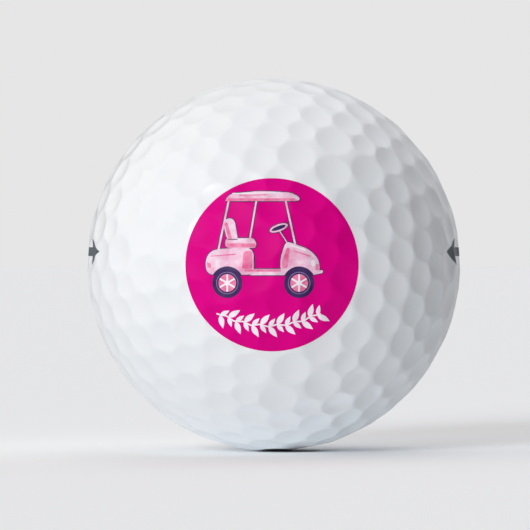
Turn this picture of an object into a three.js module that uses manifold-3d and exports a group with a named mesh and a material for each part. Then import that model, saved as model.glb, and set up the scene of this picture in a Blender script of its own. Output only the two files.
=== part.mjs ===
// Golf ball: a rubber core, a dimpled cover moulded from two half shells, and the inks printed on it.
// Millimetres. The origin is the ball's centre, +Z is up and the printed face looks along -Y.
import * as THREE from 'three';
import { ConvexHull } from 'three/addons/math/ConvexHull.js';
import { mergeVertices } from 'three/addons/utils/BufferGeometryUtils.js';
import Module from 'manifold-3d';

const wasm = await Module();
wasm.setup();

const BALL_RADIUS = 42.7 / 2;       // over the lands between the dimples
const CORE_RADIUS = 39.1 / 2;
const FIT = 0.01;                   // clearance kept between pieces that touch on the real ball
const INK = 0.04;                   // one printed pass
const DIMPLE_DEPTH = 0.065;         // floor below the land's sphere, as a share of the dimple's diameter
const RIM_SIDES = 8;
const LARGE = 4.2;
const MEDIUM = 3.65;
const SMALL = 3.0;

// How the dimple pattern is turned in the ball: its pole leans, and it is spun about that pole.
const PATTERN_SPIN = 29.7;
const PATTERN_LEAN = 19.9;
const PATTERN_LEAN_TOWARDS = 200;

const ROUNDEL_RADIUS = 9.55;
const MARK_LENGTH = 16;
const MARK_HEIGHT = 3;
const MARK_LINE = 1;
const MARK_RISE = 1.5;              // the middle of the side marks, above the ball's centre

const radians = THREE.MathUtils.degToRad;

// ---- solids ----

function solid(geometry) {
  const bare = geometry.clone();
  bare.deleteAttribute('normal');
  bare.deleteAttribute('uv');
  const merged = mergeVertices(bare, 1e-5);
  return new wasm.Manifold(new wasm.Mesh({
    numProp: 3,
    vertProperties: new Float32Array(merged.attributes.position.array),
    triVerts: new Uint32Array(merged.index.array),
  }));
}

function piece(name, shape, { color, roughness }) {
  const { vertProperties, triVerts } = shape.getMesh();
  const geometry = new THREE.BufferGeometry();
  geometry.setAttribute('position', new THREE.BufferAttribute(vertProperties, 3));
  geometry.setIndex(new THREE.BufferAttribute(triVerts, 1));
  geometry.computeVertexNormals();
  const mesh = new THREE.Mesh(geometry, new THREE.MeshStandardMaterial({ color, roughness, metalness: 0 }));
  mesh.name = name;
  return mesh;
}

// ---- the dimple pattern ----

// Each of an icosahedron's twelve corners carries the same rosette of dimples. A ring is set at an angle from
// the corner, turned from the way to the next corner, and repeats five times about the corner.
function rosette() {
  const halfEdge = radians(63.435 / 2);
  const sharedRing = 32.8;
  const sharedTurn = THREE.MathUtils.radToDeg(Math.acos(Math.tan(halfEdge) / Math.tan(radians(sharedRing))));
  return [
    { ring: 0, turns: [0], diameter: LARGE },
    { ring: 11.9, turns: [36], diameter: LARGE },
    { ring: 17.0, turns: [0], diameter: SMALL },
    { ring: 22.2, turns: [22.7, -22.7], diameter: MEDIUM },
    { ring: 26.1, turns: [0], diameter: MEDIUM },
    { ring: 31.5, turns: [36], diameter: MEDIUM },
    { ring: sharedRing, turns: [sharedTurn, -sharedTurn], diameter: MEDIUM },
  ];
}

// The twelve corners, each with the direction from it to a neighbouring corner.
function corners() {
  const ringAngle = Math.atan(2);
  const list = [
    { out: new THREE.Vector3(0, 0, 1), next: new THREE.Vector3(1, 0, 0) },
    { out: new THREE.Vector3(0, 0, -1), next: new THREE.Vector3(-1, 0, 0) },
  ];
  for (let k = 0; k < 5; k++) {
    for (const side of [1, -1]) {
      const turn = radians(72 * k + (side > 0 ? 0 : 36));
      const out = new THREE.Vector3(
        Math.sin(ringAngle) * Math.cos(turn),
        Math.sin(ringAngle) * Math.sin(turn),
        Math.cos(ringAngle) * side,
      );
      const next = new THREE.Vector3(0, 0, side).addScaledVector(out, -out.z * side).normalize();
      list.push({ out, next });
    }
  }
  return list;
}

function patternTurn() {
  const up = new THREE.Vector3(0, 0, 1);
  const side = new THREE.Vector3(0, 1, 0);
  return new THREE.Quaternion().setFromAxisAngle(up, radians(PATTERN_LEAN_TOWARDS))
    .multiply(new THREE.Quaternion().setFromAxisAngle(side, radians(PATTERN_LEAN)))
    .multiply(new THREE.Quaternion().setFromAxisAngle(up, radians(PATTERN_SPIN)));
}

function dimples() {
  const found = [];
  const turned = patternTurn();
  for (const { out, next } of corners()) {
    const across = new THREE.Vector3().crossVectors(out, next);
    for (const { ring, turns, diameter } of rosette()) {
      for (const turn of turns) {
        for (let k = 0; k < (ring ? 5 : 1); k++) {
          const angle = radians(turn + 72 * k);
          const centre = out.clone().multiplyScalar(Math.cos(radians(ring)))
            .addScaledVector(next, Math.sin(radians(ring)) * Math.cos(angle))
            .addScaledVector(across, Math.sin(radians(ring)) * Math.sin(angle))
            .applyQuaternion(turned);
          const known = found.some((other) => other.centre.dot(centre) > Math.cos(radians(1)));
          if (!known) found.push({ centre, diameter });
        }
      }
    }
  }
  return found;
}

// The ball's outside: a rim of points round every dimple and one at its floor. The hull that joins them is
// made with each floor point just above its rim's plane, so that every dimple closes on its own rim.
function dimpledSurface() {
  const hullPoints = [];
  const finalRadius = new Map();
  for (const { centre, diameter } of dimples()) {
    const rimAngle = Math.asin(diameter / 2 / BALL_RADIUS);
    const side = new THREE.Vector3(0, 0, 1).cross(centre).normalize();
    const up = new THREE.Vector3().crossVectors(centre, side);
    for (let k = 0; k < RIM_SIDES; k++) {
      const turn = (2 * Math.PI * k) / RIM_SIDES;
      const rim = centre.clone().multiplyScalar(Math.cos(rimAngle))
        .addScaledVector(side, Math.sin(rimAngle) * Math.cos(turn))
        .addScaledVector(up, Math.sin(rimAngle) * Math.sin(turn));
      hullPoints.push(rim);
      finalRadius.set(rim, BALL_RADIUS);
    }
    const floor = centre.clone().multiplyScalar(Math.cos(rimAngle) + 0.0005);
    hullPoints.push(floor);
    finalRadius.set(floor, BALL_RADIUS - DIMPLE_DEPTH * diameter);
  }
  const corner = new THREE.Vector3();
  const positions = [];
  for (const face of new ConvexHull().setFromPoints(hullPoints).faces) {
    let edge = face.edge;
    do {
      const { point } = edge.head();
      corner.copy(point).setLength(finalRadius.get(point));
      positions.push(corner.x, corner.y, corner.z);
      edge = edge.next;
    } while (edge !== face.edge);
  }
  const geometry = new THREE.BufferGeometry();
  geometry.setAttribute('position', new THREE.Float32BufferAttribute(positions, 3));
  return geometry;
}

const outside = dimpledSurface();

// The ball's outside, grown by a distance.
function grown(distance) {
  const share = 1 + distance / BALL_RADIUS;
  return solid(outside.clone().scale(share, share, share));
}

// ---- core and cover ----

function sphere(radius) {
  return solid(new THREE.IcosahedronGeometry(radius, 5));
}

// The corners of the seam between the half shells, in order about the pattern's pole, which is up here. The
// seam steps round the dimples and cuts none: it runs midway between those above the middle and those below.
// Where three dimples meet is where the hull of their centres, each raised to its rim cone's tip, has a face.
function seamCorners() {
  const upright = patternTurn().invert();
  const tips = dimples().map(({ centre, diameter }) => {
    const rimAngle = Math.asin(diameter / 2 / BALL_RADIUS);
    return centre.clone().divideScalar(Math.cos(rimAngle)).applyQuaternion(upright);
  });
  const corners = [];
  for (const face of new ConvexHull().setFromPoints(tips).faces) {
    const heights = [];
    let edge = face.edge;
    do {
      heights.push(edge.head().point.z);
      edge = edge.next;
    } while (edge !== face.edge);
    const crosses = Math.min(...heights) < 0 && Math.max(...heights) > 0;
    const known = corners.some((corner) => corner.angleTo(face.normal) < radians(0.01));
    if (crosses && !known) corners.push(face.normal.clone());
  }
  return corners.sort((a, b) => Math.atan2(a.y, a.x) - Math.atan2(b.y, b.x));
}

// Everything on one side of the seam: a cone of walls from the ball's centre, closed far outside the ball.
function mouldSide(side) {
  const far = 3 * BALL_RADIUS;
  const corners = seamCorners();
  const centre = new THREE.Vector3();
  const cap = new THREE.Vector3(0, 0, side * far);
  const positions = [];
  corners.forEach((corner, k) => {
    const here = corner.clone().multiplyScalar(far);
    const next = corners[(k + 1) % corners.length].clone().multiplyScalar(far);
    const [first, last] = side > 0 ? [here, next] : [next, here];
    for (const point of [centre, last, first, cap, first, last]) positions.push(...point.toArray());
  });
  const walls = new THREE.BufferGeometry();
  walls.setAttribute('position', new THREE.Float32BufferAttribute(positions, 3));
  walls.translate(0, 0, (side * FIT) / 2);
  walls.applyQuaternion(patternTurn());
  return solid(walls);
}

const IONOMER = { color: 0xf1f2f2, roughness: 0.25 };

function coverHalf(name, side) {
  const shell = grown(0).subtract(sphere(CORE_RADIUS + FIT));
  return piece(name, shell.intersect(mouldSide(side)), IONOMER);
}

const core = piece('core', sphere(CORE_RADIUS), { color: 0x6f9fb5, roughness: 0.8 });
const upperCover = coverHalf('cover_upper', 1);
const lowerCover = coverHalf('cover_lower', -1);

// ---- printed inks ----

// A film of ink lying on the cover, or on the pass of ink below it, inside an outline thrown onto the ball.
function inkFilm(name, outline, pass, turn, finish) {
  const inner = FIT + pass * (INK + FIT);
  const film = grown(inner + INK).subtract(grown(inner));
  const prism = new THREE.ExtrudeGeometry(outline, { depth: 2 * BALL_RADIUS, bevelEnabled: false, curveSegments: 8 });
  prism.rotateX(Math.PI / 2);
  prism.rotateZ(turn);
  return piece(name, film.intersect(solid(prism)), finish);
}

function roundelOutline() {
  const shape = new THREE.Shape();
  const sides = 48;
  for (let k = 0; k < sides; k++) {
    const turn = (2 * Math.PI * k) / sides;
    const x = ROUNDEL_RADIUS * Math.cos(turn);
    const y = ROUNDEL_RADIUS * Math.sin(turn);
    if (k === 0) shape.moveTo(x, y);
    else shape.lineTo(x, y);
  }
  shape.closePath();
  return shape;
}

// A plain golf cart seen from the side: wheels, body, seat, two posts and a flat roof, in one outline.
function cartOutline() {
  const wheelRadius = 1.6;
  const wheelY = -2.0;
  const rear = -4.9;
  const front = 2.2;
  const sill = -1.3;
  const shape = new THREE.Shape();
  shape.moveTo(-6.9, sill);
  shape.lineTo(-6.9, 1.3);
  shape.lineTo(-6.1, 1.9);
  shape.lineTo(-5.5, 6.4);
  shape.lineTo(-6.0, 6.4);
  shape.lineTo(-5.7, 7.2);
  shape.lineTo(1.7, 7.2);
  shape.lineTo(2.0, 6.4);
  shape.lineTo(0.3, 6.4);
  shape.lineTo(1.0, 2.2);
  shape.lineTo(3.6, 1.5);
  shape.lineTo(4.4, sill);
  shape.lineTo(front + wheelRadius, sill);
  const lift = Math.asin((sill - wheelY) / wheelRadius);
  shape.absarc(front, wheelY, wheelRadius, lift, Math.PI - lift, true);
  shape.lineTo(rear + wheelRadius, sill);
  shape.absarc(rear, wheelY, wheelRadius, lift, Math.PI - lift, true);
  shape.closePath();
  const cabin = new THREE.Path();
  cabin.moveTo(-5.0, 6.4);
  cabin.lineTo(-5.5, 2.2);
  cabin.lineTo(-4.6, 4.2);
  cabin.lineTo(-3.8, 4.2);
  cabin.lineTo(-4.0, 2.4);
  cabin.lineTo(-2.2, 2.2);
  cabin.lineTo(-1.8, -0.4);
  cabin.lineTo(-0.3, -0.4);
  cabin.lineTo(0.0, 2.3);
  cabin.lineTo(0.5, 2.3);
  cabin.lineTo(-0.2, 6.4);
  cabin.closePath();
  shape.holes.push(cabin);
  return shape;
}

// A leaf-shaped band that follows the roundel's lower edge.
function garlandOutline() {
  const bend = 12;
  const middle = { x: 0.2, y: 5.4 };
  const reach = radians(27);
  const halfWidth = 0.8;
  const steps = 12;
  const shape = new THREE.Shape();
  for (let k = 0; k <= 2 * steps; k++) {
    const along = k <= steps ? k / steps : (2 * steps - k) / steps;
    const side = k <= steps ? 1 : -1;
    const turn = -Math.PI / 2 + reach * (2 * along - 1);
    const radius = bend + side * halfWidth * Math.sin(Math.PI * along);
    const x = middle.x + radius * Math.cos(turn);
    const y = middle.y + radius * Math.sin(turn);
    if (k === 0) shape.moveTo(x, y);
    else if (k < 2 * steps) shape.lineTo(x, y);
  }
  shape.closePath();
  return shape;
}

// A plain line with an arrowhead at each end, as players draw to line up a putt.
function arrowOutline() {
  const tip = MARK_LENGTH / 2;
  const neck = tip - MARK_HEIGHT;
  const shape = new THREE.Shape();
  shape.moveTo(tip, MARK_RISE);
  for (const side of [1, -1]) {
    for (const along of [neck, -neck]) {
      const inner = [side * along, MARK_RISE + (side * MARK_LINE) / 2];
      const outer = [side * along, MARK_RISE + (side * MARK_HEIGHT) / 2];
      for (const corner of along > 0 ? [outer, inner] : [inner, outer]) shape.lineTo(...corner);
    }
    if (side > 0) shape.lineTo(-tip, MARK_RISE);
  }
  shape.closePath();
  return shape;
}

const MAGENTA = { color: 0xd4007f, roughness: 0.35 };
const PALE_PINK = { color: 0xf3b6cc, roughness: 0.35 };
const WHITE = { color: 0xfbf4f8, roughness: 0.35 };
const CHARCOAL = { color: 0x3b3d42, roughness: 0.4 };

const ball = new THREE.Group();
ball.name = 'golf_ball';
ball.add(core, upperCover, lowerCover);
ball.add(inkFilm('print_roundel', roundelOutline(), 0, 0, MAGENTA));
ball.add(inkFilm('print_cart', cartOutline(), 1, 0, PALE_PINK));
ball.add(inkFilm('print_garland', garlandOutline(), 1, 0, WHITE));
ball.add(inkFilm('mark_left', arrowOutline(), 0, -Math.PI / 2, CHARCOAL));
ball.add(inkFilm('mark_right', arrowOutline(), 0, Math.PI / 2, CHARCOAL));

export default ball;
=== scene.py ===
"""A two-piece golf ball on a pale studio floor: rubber core, dimpled cover and the inks printed on it."""

import math

import bpy
import numpy as np
from mathutils import Matrix, Quaternion, Vector


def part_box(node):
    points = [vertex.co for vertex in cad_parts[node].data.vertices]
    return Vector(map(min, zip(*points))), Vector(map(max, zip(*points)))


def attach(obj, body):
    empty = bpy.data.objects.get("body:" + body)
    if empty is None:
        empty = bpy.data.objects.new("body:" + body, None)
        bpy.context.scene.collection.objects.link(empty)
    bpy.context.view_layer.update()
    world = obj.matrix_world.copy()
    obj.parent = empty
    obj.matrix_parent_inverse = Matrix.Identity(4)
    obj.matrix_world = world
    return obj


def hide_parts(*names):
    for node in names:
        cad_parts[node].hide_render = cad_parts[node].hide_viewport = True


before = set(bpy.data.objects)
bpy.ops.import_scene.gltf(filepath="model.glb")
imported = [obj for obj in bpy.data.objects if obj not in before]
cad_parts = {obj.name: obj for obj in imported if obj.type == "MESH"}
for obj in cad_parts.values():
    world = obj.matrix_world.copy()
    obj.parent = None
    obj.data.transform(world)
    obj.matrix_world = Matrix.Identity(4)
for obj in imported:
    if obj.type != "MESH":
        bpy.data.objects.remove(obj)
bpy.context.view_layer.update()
mm = 0.001

# ---- Core ----
# A solid ball of cured polybutadiene rubber, moulded hot in two halves and ground round, so the flash
# line of its mould is left as a faint belt. The cover is pressed on round it and hides it.


class Finish:
    """A material's nodes. Sockets that it gives take part in sums as Python values do."""

    def __init__(self, name):
        self.material = bpy.data.materials.new(name)
        self.material.use_nodes = True
        self.tree = self.material.node_tree
        self.shader = self.tree.nodes["Principled BSDF"]

    def node(self, kind, settings=None, output=0, **sockets):
        """A new node's output. Its sockets go by name, or by i and a number where two share a name."""
        made = self.tree.nodes.new("ShaderNode" + kind)
        for name, value in (settings or {}).items():
            setattr(made, name, value)
        for name, value in sockets.items():
            place = int(name[1:]) if name[1:].isdigit() else name.replace("_", " ")
            self.join(made.inputs[place], value)
        return Signal(self, made.outputs[output])

    def join(self, socket, value):
        if isinstance(value, Signal):
            self.tree.links.new(value.socket, socket)
        else:
            socket.default_value = value

    def blend(self, share, first, second):
        """A colour between two colours."""
        settings = {"data_type": "RGBA", "clamp_factor": True}
        return self.node("Mix", settings, output=2, i0=share, i6=first, i7=second)

    def places(self, scale=1.0):
        """Object coordinates in millimetres, times a scale."""
        spot = self.node("TexCoord", output=3)
        return self.node("Mapping", i0=spot, i3=(scale / mm, scale / mm, scale / mm))

    def grain(self, size, detail=2.0, roughness=0.5):
        """Noise whose lumps are about size millimetres across."""
        lumps = self.places(1 / size)
        return self.node("TexNoise", Vector=lumps, Scale=1.0, Detail=detail, Roughness=roughness)

    def wear(self, **sockets):
        """Gives the shader its sockets."""
        for name, value in sockets.items():
            self.join(self.shader.inputs[name.replace("_", " ")], value)

    def bump(self, height, depth, strength=1.0):
        """A Normal from a height in shares of depth, in millimetres."""
        return self.node("Bump", i0=strength, i1=depth * mm, Height=height)


class Signal:
    """One output socket, with the sums that a Math node can do."""

    def __init__(self, finish, socket):
        self.finish = finish
        self.socket = socket

    def sum(self, operation, *values):
        made = self.finish.tree.nodes.new("ShaderNodeMath")
        made.operation = operation
        for socket, value in zip(made.inputs, values):
            self.finish.join(socket, value)
        return Signal(self.finish, made.outputs[0])

    def __add__(self, other):
        return self.sum("ADD", self, other)

    def __radd__(self, other):
        return self.sum("ADD", other, self)

    def __sub__(self, other):
        return self.sum("SUBTRACT", self, other)

    def __rsub__(self, other):
        return self.sum("SUBTRACT", other, self)

    def __mul__(self, other):
        return self.sum("MULTIPLY", self, other)

    def __rmul__(self, other):
        return self.sum("MULTIPLY", other, self)


def rubber():
    finish = Finish("core_rubber")
    crumbs = finish.grain(0.5, detail=4.0)
    clouds = finish.grain(9.0)
    blue = finish.blend(crumbs * 0.6 + clouds * 0.4, (0.10, 0.26, 0.36, 1), (0.22, 0.44, 0.56, 1))
    scratches = finish.grain(0.15, detail=3.0)
    finish.wear(Base_Color=blue, Roughness=0.7 + crumbs * 0.2, Normal=finish.bump(scratches, 0.03, 0.6))
    return finish.material


core_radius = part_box("core")[1].z
bpy.ops.object.select_all(action="DESELECT")
bpy.ops.mesh.primitive_ico_sphere_add(subdivisions=6, radius=core_radius)
core = bpy.context.object
core.name = "core_rubber"
# The flash belt: the skin near the mould's parting plane is ground a few hundredths lower.
belt_depth = 0.03 * mm
belt_reach = 0.5 * mm
for vertex in core.data.vertices:
    near = max(0.0, 1 - abs(vertex.co.z) / belt_reach)
    vertex.co *= 1 - near * belt_depth / core_radius
bpy.ops.object.shade_smooth()
core.data.materials.append(rubber())
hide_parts("core")
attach(core, "root")

# ---- Cover ----
# The cover is white ionomer 1.8 mm thick. Two half shells are pressed together round the core, and the
# mould's pins leave 432 dimples. The line where the halves meet steps round the dimples and cuts none.

land_radius = max(vertex.co.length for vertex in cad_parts["cover_upper"].data.vertices)
fit = 0.01 * mm
inner_radius = core_radius + fit
large, medium, small = 4.2 * mm, 3.65 * mm, 3.0 * mm
dimple_depth = 0.065  # a dimple's floor below the land's sphere, as a share of its diameter
edge_round = 0.065 * mm  # how gently a dimple's edge rolls into the land
# The skin's rings of points: by their distance inside a dimple's rim, then by their share of its reach.
edge_rings = (-0.02 * mm, 0.1 * mm, 0.22 * mm, 0.38 * mm, 0.6 * mm)
cup_rings = (0.5, 0.3, 0.13)
# How the dimple pattern is turned in the ball: spun about its pole, which then leans back and to one side.
around = Quaternion((0, 0, 1), math.radians(200))
lean = Quaternion((0, 1, 0), math.radians(19.9))
spin = Quaternion((0, 0, 1), math.radians(29.7))
pattern_turn = around @ lean @ spin


def rosette():
    """The dimples round one corner of the icosahedron: (angle from the corner, turns, diameter)."""
    shared_ring = 32.8
    shared_turn = math.degrees(math.acos(math.tan(math.atan(2) / 2) / math.tan(math.radians(shared_ring))))
    return [
        (0, [0], large),
        (11.9, [36], large),
        (17.0, [0], small),
        (22.2, [22.7, -22.7], medium),
        (26.1, [0], medium),
        (31.5, [36], medium),
        (shared_ring, [shared_turn, -shared_turn], medium),
    ]


def icosahedron_corners():
    """Twelve directions, each with the direction from it to a neighbouring corner."""
    corners = [(Vector((0, 0, 1)), Vector((1, 0, 0))), (Vector((0, 0, -1)), Vector((-1, 0, 0)))]
    ring = math.atan(2)
    for k in range(5):
        for side in (1, -1):
            turn = math.radians(72 * k + (0 if side > 0 else 36))
            level = Vector((math.cos(turn), math.sin(turn), 0))
            out = level * math.sin(ring) + Vector((0, 0, math.cos(ring) * side))
            corners.append((out, (Vector((0, 0, side)) - out * out.z * side).normalized()))
    return corners


def dimple_pattern():
    """Every dimple's direction from the ball's centre, and its diameter."""
    centres, diameters = [], []
    for out, neighbour in icosahedron_corners():
        across = out.cross(neighbour)
        for ring, turns, diameter in rosette():
            for turn in turns:
                for k in range(5 if ring else 1):
                    angle, away = math.radians(turn + 72 * k), math.radians(ring)
                    sideways = neighbour * math.cos(angle) + across * math.sin(angle)
                    centre = pattern_turn @ (out * math.cos(away) + sideways * math.sin(away))
                    if all(centre.dot(other) < math.cos(math.radians(1)) for other in centres):
                        centres.append(centre)
                        diameters.append(diameter)
    return np.array(centres), np.array(diameters)


dimple_centres, dimple_diameters = dimple_pattern()
rim_angles = np.arcsin(dimple_diameters / 2 / land_radius)


def surface_distance(directions):
    """How far out the cover's skin lies in each direction: the land's sphere, rolled into spherical cups."""
    distance = np.full(len(directions), land_radius)
    for centre, diameter, rim in zip(dimple_centres, dimple_diameters, rim_angles):
        cosine = directions @ centre
        near = cosine > math.cos(rim + math.radians(1))
        rim_height = land_radius * math.cos(rim)
        cup_depth = rim_height - (land_radius - dimple_depth * diameter)
        cup_radius = ((diameter / 2) ** 2 + cup_depth**2) / (2 * cup_depth)
        reach = rim_height - cup_depth + cup_radius
        cup = reach * cosine[near] - np.sqrt(cup_radius**2 - reach**2 * (1 - cosine[near] ** 2))
        gap = np.maximum(edge_round - np.abs(distance[near] - cup), 0)
        distance[near] = np.minimum(distance[near], cup) - gap**2 / (4 * edge_round)
    return distance


def dimple_cells():
    """Each dimple's share of the skin: the corners round it where three shares meet, in order."""
    poles = bpy.data.meshes.new("poles")
    poles.from_pydata([tuple(p) for p in dimple_centres / np.cos(rim_angles)[:, None]], [], [])
    net = bpy.data.objects.new("poles", poles)
    bpy.context.scene.collection.objects.link(net)
    bpy.ops.object.select_all(action="DESELECT")
    bpy.context.view_layer.objects.active = net
    net.select_set(True)
    bpy.ops.object.mode_set(mode="EDIT")
    bpy.ops.mesh.select_all(action="SELECT")
    bpy.ops.mesh.convex_hull(use_existing_faces=False, make_holes=False, join_triangles=False)
    bpy.ops.object.mode_set(mode="OBJECT")
    corners = [[] for _ in dimple_centres]
    for face in net.data.polygons:
        for index in face.vertices:
            corners[index].append(np.array(face.normal))
    bpy.data.objects.remove(net)
    any_way = (0.3, 0.5, 0.8)  # along no dimple's direction
    for index, centre in enumerate(dimple_centres):
        side = np.cross(centre, any_way)
        up = np.cross(centre, side)
        corners[index].sort(key=lambda c: math.atan2(c @ up, c @ side))
    return corners


cells = dimple_cells()
weld = 0.002 * mm  # points nearer than this are one


def cell_border(corners):
    """Points along the great circles that join a cell's corners, the same whichever cell asks."""
    step = math.radians(0.95)
    points = []
    for first, last in zip(corners, corners[1:] + corners[:1]):
        count = round(math.acos(first @ last) / step)
        for k in range(max(count, 1)):
            point = first * (1 - k / count) + last * (k / count) if count else first
            points.append(point / np.linalg.norm(point))
    return np.array(points)


def skin(name, chosen, lining=None):
    """The outer skin of the chosen cells, in rings from each cell's border to its dimple's floor.
    With a lining radius, the plain inner wall behind them too."""
    directions, faces, total = [], [], 0
    lining_points, lining_faces, lining_total = [], [], 0
    for index in chosen:
        centre, rim = dimple_centres[index], rim_angles[index]
        border = cell_border(cells[index])
        count = len(border)
        away = np.arccos(border @ centre)
        sideways = border - (border @ centre)[:, None] * centre
        sideways /= np.linalg.norm(sideways, axis=1)[:, None]
        rings = [away, (away + rim) / 2]
        rings += [np.full(count, rim - drop / land_radius) for drop in edge_rings]
        rings += [np.full(count, rim * share) for share in cup_rings]
        for ring in rings:
            directions.append(np.cos(ring)[:, None] * centre + np.sin(ring)[:, None] * sideways)
        directions.append(centre[None])
        steps = np.arange(count)
        following = (steps + 1) % count
        for k in range(len(rings) - 1):
            outer, inner = total + k * count, total + (k + 1) * count
            quads = [outer + steps, outer + following, inner + following, inner + steps]
            faces += np.stack(quads, 1).tolist()
        last = total + (len(rings) - 1) * count
        faces += np.stack([last + steps, last + following, np.full(count, last + count)], 1).tolist()
        total += len(rings) * count + 1
        if lining:
            lining_points += [border * lining, centre[None] * lining]
            fan = [lining_total + following, lining_total + steps, np.full(count, lining_total + count)]
            lining_faces += np.stack(fan, 1).tolist()
            lining_total += count + 1
    directions = np.concatenate(directions)
    points = directions * surface_distance(directions)[:, None]
    if lining:
        points = np.concatenate([points, *lining_points])
        faces += [[total + corner for corner in face] for face in lining_faces]
    mesh = bpy.data.meshes.new(name)
    mesh.from_pydata(points.tolist(), [], faces)
    piece = bpy.data.objects.new(name, mesh)
    bpy.context.scene.collection.objects.link(piece)
    bpy.ops.object.select_all(action="DESELECT")
    bpy.context.view_layer.objects.active = piece
    piece.select_set(True)
    bpy.ops.object.mode_set(mode="EDIT")
    bpy.ops.mesh.select_all(action="SELECT")
    bpy.ops.mesh.remove_doubles(threshold=weld)
    bpy.ops.object.mode_set(mode="OBJECT")
    return piece


def ionomer():
    finish = Finish("cover_ionomer")
    clouds = finish.grain(6.0, detail=3.0)
    white = finish.blend(clouds, (0.83, 0.84, 0.85, 1), (0.88, 0.885, 0.89, 1))
    peel = finish.grain(0.7, detail=1.0)
    finish.wear(Base_Color=white, Roughness=0.32 + clouds * 0.08, Normal=finish.bump(peel, 0.01, 0.2))
    finish.wear(Coat_Weight=0.25, Coat_Roughness=0.25, IOR=1.5)
    return finish.material


white_ionomer = ionomer()
pole = np.array(pattern_turn @ Vector((0, 0, 1)))
smooth_angle = math.radians(40)
for name, side in (("cover_upper", 1), ("cover_lower", -1)):
    chosen = [i for i in range(len(dimple_centres)) if side * (dimple_centres[i] @ pole) > 0]
    shell = skin(name + "_shell", chosen, lining=inner_radius)
    bpy.ops.object.mode_set(mode="EDIT")
    bpy.ops.mesh.select_all(action="DESELECT")
    others = {"use_wire": False, "use_multi_face": False, "use_non_contiguous": False, "use_verts": False}
    bpy.ops.mesh.select_non_manifold(extend=False, use_boundary=True, **others)
    bpy.ops.mesh.bridge_edge_loops()
    bpy.ops.mesh.select_all(action="SELECT")
    bpy.ops.mesh.normals_make_consistent(inside=False)
    bpy.ops.object.mode_set(mode="OBJECT")
    bpy.ops.object.shade_smooth_by_angle(angle=smooth_angle)
    shell.data.materials.append(white_ionomer)
    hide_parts(name)
    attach(shell, "root")

# ---- Roundel ----
# The roundel is the first pass of ink: a flat magenta disc, printed straight on the cover by a soft pad
# that follows the dimples, under the clear coat. Its ink is two hundredths of a millimetre thick.

ink_thickness = 0.02 * mm
ink_gap = 0.002 * mm
roundel_radius = 9.55 * mm
block_length = 30 * mm  # from the ball's middle to well in front of it


def near_cells(direction, reach):
    """The dimples whose centres lie within reach degrees of a direction."""
    nearness = dimple_centres @ np.array(direction)
    return [int(i) for i in np.flatnonzero(nearness > math.cos(math.radians(reach)))]


def slab(outline, turn=0.0, lift=0.0):
    """A block with this outline, seen from the front, standing in front of the ball's middle.
    The turn swings it round the upright axis to another side, in degrees."""
    mesh = bpy.data.meshes.new("slab")
    mesh.from_pydata([(x * mm, 0, (z + lift) * mm) for x, z in outline], [], [list(range(len(outline)))])
    block = bpy.data.objects.new("slab", mesh)
    bpy.context.scene.collection.objects.link(block)
    bpy.ops.object.select_all(action="DESELECT")
    bpy.context.view_layer.objects.active = block
    block.select_set(True)
    bpy.ops.object.mode_set(mode="EDIT")
    bpy.ops.mesh.select_all(action="SELECT")
    bpy.ops.mesh.extrude_region_move(TRANSFORM_OT_translate={"value": (0, -block_length, 0)})
    bpy.ops.mesh.select_all(action="SELECT")
    bpy.ops.mesh.normals_make_consistent(inside=False)
    bpy.ops.object.mode_set(mode="OBJECT")
    block.rotation_euler.z = math.radians(turn)
    bpy.ops.object.transform_apply(location=False, rotation=True, scale=False)
    return block


def combine(piece, tool, operation):
    """Cuts or joins one solid with another, and takes the tool away."""
    change = piece.modifiers.new("change", "BOOLEAN")
    change.operation = operation
    change.solver = "MANIFOLD"
    change.object = tool
    bpy.ops.object.select_all(action="DESELECT")
    bpy.context.view_layer.objects.active = piece
    piece.select_set(True)
    bpy.ops.object.modifier_apply(modifier=change.name)
    bpy.data.objects.remove(tool)


def stencil(outlines, holes=(), turn=0.0, lift=0.0):
    """One block from several outlines that may overlap, less its holes."""
    block = slab(outlines[0], turn, lift)
    for outline in outlines[1:]:
        combine(block, slab(outline, turn, lift), "UNION")
    for hole in holes:
        combine(block, slab(hole, turn, lift), "DIFFERENCE")
    return block


def film(name, block, cells, layer, finish, node):
    """A film of ink over these cells, as far as the block reaches. Each layer lies on the one before."""
    printed = skin(name, cells)
    rise = ink_gap + layer * (ink_thickness + ink_gap)
    printed.data.transform(Matrix.Scale(1 + rise / land_radius, 4))
    thick = printed.modifiers.new("thick", "SOLIDIFY")
    thick.thickness = ink_thickness
    thick.offset = 1
    bpy.ops.object.modifier_apply(modifier=thick.name)
    combine(printed, block, "INTERSECT")
    bpy.ops.object.shade_smooth_by_angle(angle=smooth_angle)
    printed.data.materials.clear()
    printed.data.materials.append(finish)
    for face in printed.data.polygons:
        face.material_index = 0
    if node:
        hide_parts(node)
    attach(printed, "root")


def oval(x, z, width, height, tilt=0.0, points=48):
    """An ellipse's outline, with its long side turned by tilt degrees."""
    turned = []
    for k in range(points):
        across = width / 2 * math.cos(math.tau * k / points)
        up = height / 2 * math.sin(math.tau * k / points)
        c, s = math.cos(math.radians(tilt)), math.sin(math.radians(tilt))
        turned.append((x + across * c - up * s, z + across * s + up * c))
    return turned


def ink(name, first, second, size, gloss=0.3, contrast=1.7):
    """Ink whose colour drifts between two over lumps of a size in millimetres, with a fine print grain."""
    finish = Finish(name)
    drift = finish.grain(size, detail=4.0)
    specks = finish.grain(0.12, detail=1.0)
    share = (drift - 0.5) * contrast + (specks - 0.5) * 0.5 + 0.5
    colour = finish.blend(share, (*first, 1), (*second, 1))
    finish.wear(Base_Color=colour, Roughness=0.42 + specks * 0.1, Normal=finish.bump(specks, 0.004, 0.3))
    finish.wear(Specular_IOR_Level=gloss)
    return finish.material


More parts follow.
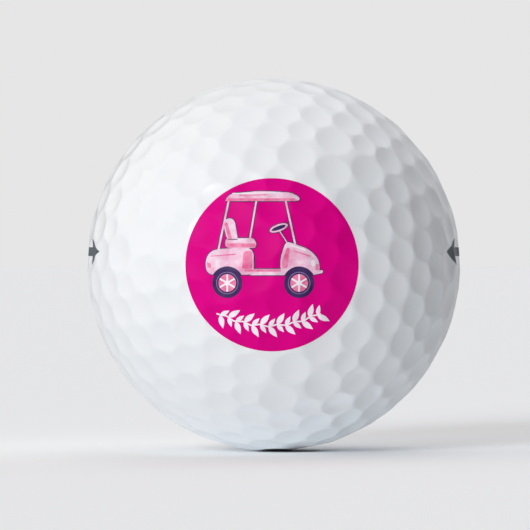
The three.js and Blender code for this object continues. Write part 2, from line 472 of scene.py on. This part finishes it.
front_reach = 34  # degrees round the front that take in the whole roundel
front_cells = near_cells((0, -1, 0), front_reach)
magenta = ink("ink_magenta", (0.68, 0.0, 0.21), (0.78, 0.0, 0.25), 2.2, gloss=0.05)
roundel_width = 2 * roundel_radius / mm
disc = slab(oval(0, 0, roundel_width, roundel_width, points=160))
film("roundel", disc, front_cells, 0, magenta, "print_roundel")

# ---- Cart ----
# A little golf cart, seen from its side, is printed over the roundel in five more colours: its dark
# tyres and outlines first, then the pale pink panels, their rose shading, lilac, and white lights.


def bar(x0, z0, x1, z1, width, rounded=6):
    """A straight bar's outline with round ends."""
    away = math.atan2(z1 - z0, x1 - x0)
    outline = []
    for x, z, start in ((x1, z1, away - math.pi / 2), (x0, z0, away + math.pi / 2)):
        for k in range(rounded + 1):
            turn = start + math.pi * k / rounded
            outline.append((x + width / 2 * math.cos(turn), z + width / 2 * math.sin(turn)))
    return outline


def softened(corners, radius, steps=4):
    """A closed outline through these corners, each rounded off by a curve."""
    outline = []
    for before, corner, after in zip(corners[-1:] + corners[:-1], corners, corners[1:] + corners[:1]):
        here = Vector(corner)
        start, end = Vector(before) - here, Vector(after) - here
        start *= min(radius, start.length * 0.45) / start.length
        end *= min(radius, end.length * 0.45) / end.length
        for k in range(steps + 1):
            share = k / steps
            outline.append(tuple(here + start * (1 - share) ** 2 + end * share**2))
    return outline


def grown(outline, by):
    """The outline moved outwards by this much, for outlines that run anticlockwise or clockwise."""
    area = sum(a[0] * b[1] - b[0] * a[1] for a, b in zip(outline, outline[1:] + outline[:1]))
    moved = []
    for before, here, after in zip(outline[-1:] + outline[:-1], outline, outline[1:] + outline[:1]):
        along = Vector((after[0] - before[0], after[1] - before[1])).normalized()
        along *= math.copysign(by, area)
        moved.append((here[0] + along.y, here[1] - along.x))
    return moved


wheels = [(-4.9, -2.0), (3.0, -2.0)]
tyre_size, wall_size, rim_size, hub_size = 3.3, 2.45, 1.95, 0.6
line = 0.09
cart_roof = softened([(-5.3, 7.0), (2.9, 7.0), (3.15, 7.35), (2.2, 7.95), (-1.2, 8.15), (-4.6, 7.85)], 0.6)
rear_deck = softened([(-7.2, -1.1), (-7.35, 0.7), (-6.5, 1.7), (-2.5, 1.95), (-1.9, 1.2), (-1.9, -1.1)], 0.9)
cowl = softened(
    [(1.0, -1.1), (0.9, 0.6), (1.5, 2.5), (2.1, 2.45), (4.1, 1.7), (5.1, 0.7), (5.3, -0.5), (5.0, -1.1)], 0.7
)
floor_pan = softened([(-2.4, -1.15), (-2.4, -0.45), (1.6, -0.45), (1.6, -1.15)], 0.1)
seat_back = softened([(-4.9, 2.7), (-5.45, 4.75), (-4.7, 5.2), (-4.1, 4.9), (-3.7, 2.7)], 0.45)
seat = softened([(-5.1, 1.85), (-5.15, 2.9), (-1.9, 2.95), (-1.6, 1.85)], 0.45)
posts = [bar(-4.75, 7.1, -5.9, 1.5, 0.22), bar(-1.7, 7.1, -2.6, 1.7, 0.2), bar(1.5, 7.1, 2.6, 2.1, 0.22)]
steering_wheel, steering_hole = oval(0.75, 4.05, 2.1, 0.8, 20), oval(0.75, 4.05, 1.65, 0.42, 20)
bumper = bar(4.5, -0.95, 5.45, -0.75, 0.35)
panels = [rear_deck, cowl, floor_pan, cart_roof, seat_back, seat, *posts, bumper]
navy = ink("ink_navy", (0.020, 0.012, 0.075), (0.085, 0.035, 0.150), 0.8, gloss=0.15)
tyres = [oval(x, z, tyre_size, tyre_size) for x, z in wheels]
shadows = [grown(panel, line) for panel in panels] + tyres + [grown(steering_wheel, line)]
shadows += [bar(0.8, 3.9, 1.75, 2.3, 0.3)]
film("cart_lines", stencil(shadows), front_cells, 1, navy, "print_cart")

pale_pink = ink("ink_pale_pink", (0.84, 0.34, 0.53), (0.93, 0.74, 0.84), 1.1, contrast=2.6)
arches = [oval(x, z, tyre_size + 0.35, tyre_size + 0.35) for x, z in wheels]
gaps = [bar(-1.95, 1.3, -1.95, -0.4, 0.08), steering_hole]
gaps += [bar(-3.75, 2.05, -1.75, 2.1, line), bar(-4.8, 2.8, -3.8, 2.8, line)]
pale = stencil([*panels, steering_wheel, bar(0.8, 3.8, 1.7, 2.4, 0.12)], holes=arches + gaps)
film("cart_body", pale, front_cells, 2, pale_pink, None)

rose = ink("ink_rose", (0.80, 0.085, 0.27), (0.90, 0.33, 0.50), 0.8, contrast=2.2)
shading = [
    softened([(-5.2, 7.02), (2.85, 7.02), (2.5, 7.32), (-4.9, 7.32)], 0.1),
    bar(-3.6, 7.62, -0.6, 7.72, 0.1),
    softened([(-5.0, 1.9), (-5.02, 2.35), (-1.8, 2.35), (-1.72, 1.9)], 0.15),
    softened([(-4.8, 2.85), (-5.2, 4.5), (-4.95, 4.75), (-4.35, 2.85)], 0.2),
    softened([(-3.0, -0.75), (-3.0, -0.5), (1.0, -0.5), (1.0, -0.75)], 0.1),
    softened([(-3.3, -0.45), (-3.1, 1.5), (-2.2, 1.55), (-2.1, -0.45)], 0.3),
    softened([(1.1, -0.4), (1.2, 0.6), (1.65, 1.9), (2.0, 1.8), (1.7, -0.4)], 0.3),
    softened([(-7.1, -0.3), (-7.15, 0.3), (-6.7, 0.1), (-6.7, -0.4)], 0.1),
    softened([(4.75, -0.6), (4.9, 0.1), (5.15, 0.1), (5.15, -0.6)], 0.1),
    bar(2.5, 1.5, 4.2, 0.95, 0.12),
    bar(-6.7, 0.95, -4.0, 1.15, 0.12),
]
film("cart_shading", stencil(shading), front_cells, 3, rose, None)

# A wheel: a paler wall line round the tyre, a rose disc, and six white spokes with a hub.
walls = [oval(x, z, wall_size, wall_size) for x, z in wheels]
wall_holes = [oval(x, z, wall_size - 0.16, wall_size - 0.16) for x, z in wheels]
lilac = ink("ink_lilac", (0.16, 0.10, 0.30), (0.40, 0.26, 0.46), 0.5, contrast=2.0)
film("tyre_walls", stencil(walls, holes=wall_holes), front_cells, 2, lilac, None)
rims = [oval(x, z, rim_size, rim_size) for x, z in wheels]
film("wheel_discs", stencil(rims), front_cells, 2, rose, None)
spoke_count = 6
spokes = []
for x, z in wheels:
    spokes.append(oval(x, z, hub_size, hub_size, points=24))
    for k in range(spoke_count):
        turn = math.tau * (k + 0.5) / spoke_count
        reach = rim_size / 2 - 0.1
        spokes.append(bar(x, z, x + reach * math.cos(turn), z + reach * math.sin(turn), 0.2))
white_ink = ink("ink_white", (0.93, 0.81, 0.89), (0.98, 0.90, 0.95), 0.9)
lights = [oval(4.55, 0.2, 0.5, 0.75, 10), bar(-4.3, 7.85, 0.4, 7.92, 0.14), bar(2.1, 2.15, 3.7, 1.6, 0.14)]
film("cart_white", stencil(lights + spokes), front_cells, 4, white_ink, None)

# ---- Garland ----
# A white vine with paired leaves is printed below the cart, where such a ball carries its owner's name.

vine_radius, vine_middle, vine_reach = 12.0, (-0.35, 5.3), 28.0
vine_steps, vine_line = 12, 0.16
leaf_pairs, leaf_spread = 6, 6.4
long_leaf, short_leaf, leaf_width, leaf_lean = 1.5, 1.15, 0.62, 52
leaf_steps = 16


def on_vine(turn, away):
    """The place at a turn along the vine's arc, this far from the arc's middle."""
    return vine_middle[0] + away * math.sin(turn), vine_middle[1] - away * math.cos(turn)


def leaf(root, along, length):
    """A pointed leaf's outline, out one edge from its root and back along the other."""
    c, s = math.cos(math.radians(along)), math.sin(math.radians(along))
    outline = []
    for steps, edge in ((range(leaf_steps + 1), 1), (range(leaf_steps - 1, 0, -1), -1)):
        for step in steps:
            share = step / leaf_steps
            bulge = edge * leaf_width / 2 * math.sin(math.pi * share**0.8) * length / long_leaf
            out = length * share
            outline.append((root[0] + out * c - bulge * s, root[1] + out * s + bulge * c))
    return outline


garland = []
for k in range(-vine_steps, vine_steps):
    ends = []
    for step in (k, k + 1):
        sway = 0.12 * math.cos(step * 1.6)
        ends += on_vine(math.radians(step / vine_steps * vine_reach), vine_radius + sway)
    garland.append(bar(*ends, vine_line))
for k in range(-leaf_pairs, leaf_pairs + 1):
    turn = math.radians(k / leaf_spread * vine_reach)
    side = 1 if k % 2 else -1
    root = on_vine(turn, vine_radius + 0.1 * math.cos(k * 3.2))
    for way, length in ((side, long_leaf), (-side, short_leaf)):
        garland.append(leaf(root, math.degrees(turn) + leaf_lean * way, length))
film("garland", stencil(garland), front_cells, 1, white_ink, "print_garland")

# ---- Side arrows ----
# Each side carries a charcoal arrow with two heads, printed level, for lining the ball up with a putt.

arrow_length, arrow_height, arrow_line, arrow_rise = 16.0, 3.0, 1.0, 1.5
tip, neck = arrow_length / 2, arrow_length / 2 - arrow_height
half_line, half_head = arrow_line / 2, arrow_height / 2
arrow = [(tip, 0), (neck, half_head), (neck, half_line), (-neck, half_line), (-neck, half_head), (-tip, 0)]
arrow += [(x, -z) for x, z in arrow[-2:0:-1]]
side_reach = 32  # degrees round a side that take in the whole arrow
charcoal = ink("ink_charcoal", (0.06, 0.075, 0.09), (0.10, 0.12, 0.14), 1.2)
for name, turn, out in (("left", -90, (-1, 0, 0)), ("right", 90, (1, 0, 0))):
    block = stencil([arrow], turn=turn, lift=arrow_rise)
    film("arrow_" + name, block, near_cells(out, side_reach), 0, charcoal, "mark_" + name)

# ---- Studio ----
# The ball stands on a white paper floor with no edge in sight. A very broad lamp hangs high on the left,
# and a tighter one stands low at the front. Weaker ones lift the back, the top and the left edge, and a
# broad fill comes up from below, in place of the light that a paler floor would throw back.

bpy.context.scene.view_settings.view_transform = "Standard"

floor_size = 60
bpy.ops.object.select_all(action="DESELECT")
bpy.ops.mesh.primitive_plane_add(size=floor_size, location=(0, 0, -land_radius))
floor = bpy.context.object
floor.name = "floor"
bpy.ops.object.transform_apply()
paper = Finish("floor_paper")
paper.wear(Base_Color=(0.97, 0.97, 0.97, 1), Roughness=1.0, Specular_IOR_Level=0.0)
floor.data.materials.append(paper.material)

# Only the lens sees the paper that pale. It throws less light back at the ball.
sheet = paper.material.node_tree
seen = sheet.nodes["Principled BSDF"]
thrown = sheet.nodes.new("ShaderNodeBsdfDiffuse")
thrown_share = 0.66
thrown.inputs["Color"].default_value = (thrown_share, thrown_share, thrown_share, 1)
sight = sheet.nodes.new("ShaderNodeLightPath")
either = sheet.nodes.new("ShaderNodeMixShader")
sheet.links.new(sight.outputs["Is Camera Ray"], either.inputs["Fac"])
sheet.links.new(thrown.outputs[0], either.inputs[1])
sheet.links.new(seen.outputs[0], either.inputs[2])
sheet.links.new(either.outputs[0], sheet.nodes["Material Output"].inputs["Surface"])

# The bounce lamp shines up through the paper. A card under the ball keeps it off the lowest point.
floor.visible_shadow = False
card_radius = 0.2 * land_radius
card_place = (0.08 * land_radius, 0, -land_radius - 0.1 * mm)
bpy.ops.object.select_all(action="DESELECT")
bpy.ops.mesh.primitive_circle_add(vertices=48, radius=card_radius, fill_type="NGON", location=card_place)
card = bpy.context.object
card.name = "contact_card"
bpy.ops.object.transform_apply()
card.visible_camera = card.visible_diffuse = card.visible_glossy = False

# Each lamp: how high it stands and how far round from the front it is, in degrees, its spread, its light.
lamps = {
    "canopy": (60, -90, 120, (0.375, 0.36, 0.335)),
    "front": (16, -26, 20, (0.575, 0.59, 0.61)),
    "back": (20, 160, 60, (0.19, 0.19, 0.195)),
    "top": (65, 138, 60, (0.20, 0.205, 0.22)),
    "rim": (20, -110, 100, (0.16, 0.16, 0.16)),
    "bounce": (-58, -38, 90, (0.41, 0.455, 0.50)),
}
for name, (height, turn, spread, light) in lamps.items():
    strength = max(light)
    lamp = bpy.data.lights.new(name, "SUN")
    lamp.angle = math.radians(spread)
    lamp.energy = math.pi * strength
    lamp.color = [share / strength for share in light]
    holder = bpy.data.objects.new(name, lamp)
    bpy.context.scene.collection.objects.link(holder)
    holder.rotation_euler = (math.radians(90 - height), 0, math.radians(turn))

world = bpy.data.worlds.new("room")
world.use_nodes = True
bpy.context.scene.world = world
room = world.node_tree
# The lens sees the backdrop, as pale as the floor. The ball is lit by a dimmer, cooler room.
backdrop = room.nodes["Background"]
paleness = 0.79
backdrop.inputs["Color"].default_value = (paleness, paleness, paleness, 1)
gloom = room.nodes.new("ShaderNodeBackground")
gloom.inputs["Color"].default_value = (0.012, 0.020, 0.034, 1)
ray = room.nodes.new("ShaderNodeLightPath")
choice = room.nodes.new("ShaderNodeMixShader")
room.links.new(ray.outputs["Is Camera Ray"], choice.inputs["Fac"])
room.links.new(gloom.outputs[0], choice.inputs[1])
room.links.new(backdrop.outputs[0], choice.inputs[2])
room.links.new(choice.outputs[0], room.nodes["World Output"].inputs["Surface"])

stand_off = 23.0
camera_turn = math.radians(0.6)
camera = bpy.data.objects.new("camera", bpy.data.cameras.new("camera"))
bpy.context.scene.collection.objects.link(camera)
bpy.context.scene.camera = camera
camera.location = Vector((math.sin(camera_turn), -math.cos(camera_turn), 0)) * stand_off * land_radius
camera.rotation_euler = (math.pi / 2, 0, camera_turn)
camera.data.sensor_width = 36
ball_share = 0.3515  # the ball's radius as a share of the frame's width
camera.data.lens = camera.data.sensor_width * ball_share * math.sqrt(stand_off**2 - 1)
camera.data.shift_x = -0.0166
camera.data.shift_y = -0.0004
camera.data.clip_start = 0.01
camera.data.clip_end = 100
